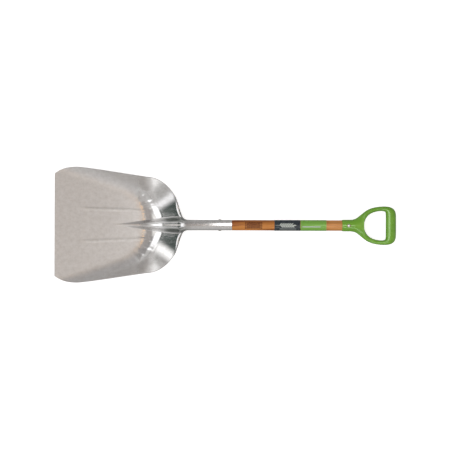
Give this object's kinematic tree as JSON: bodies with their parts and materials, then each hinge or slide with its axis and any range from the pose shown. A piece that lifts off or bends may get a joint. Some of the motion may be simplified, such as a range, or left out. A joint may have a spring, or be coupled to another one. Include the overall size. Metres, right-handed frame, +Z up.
{
  "type": "scoop shovel",
  "caption": "Grain scoop shovel with a wide pressed aluminium pan, a rolled socket, a straight wooden shaft and a moulded D-grip.",
  "frame": {"origin": "middle of the bounding box, on the ground that the tool rests on", "axes": "+X from the pan's leading edge towards the grip, +Y across the pan, +Z up out of the pan"},
  "size_m": [1.134, 0.3868, 0.1245],
  "materials": {
    "aluminium": "brushed, bright where the back was worked",
    "hardwood": "clear varnish over brown stained grain",
    "green_plastic": "moulded, satin",
    "rivet_steel": "plain",
    "dark_label_film": "printed film",
    "green_label_film": "printed film"
  },
  "bodies": {
    "root": {"scoop_blade": "aluminium", "handle_shaft": "hardwood", "d_grip": "green_plastic", "socket_rivet": "rivet_steel", "grip_rivet": "rivet_steel", "dark_label": "dark_label_film", "green_label": "green_label_film"}
  },
  "joints": []
}
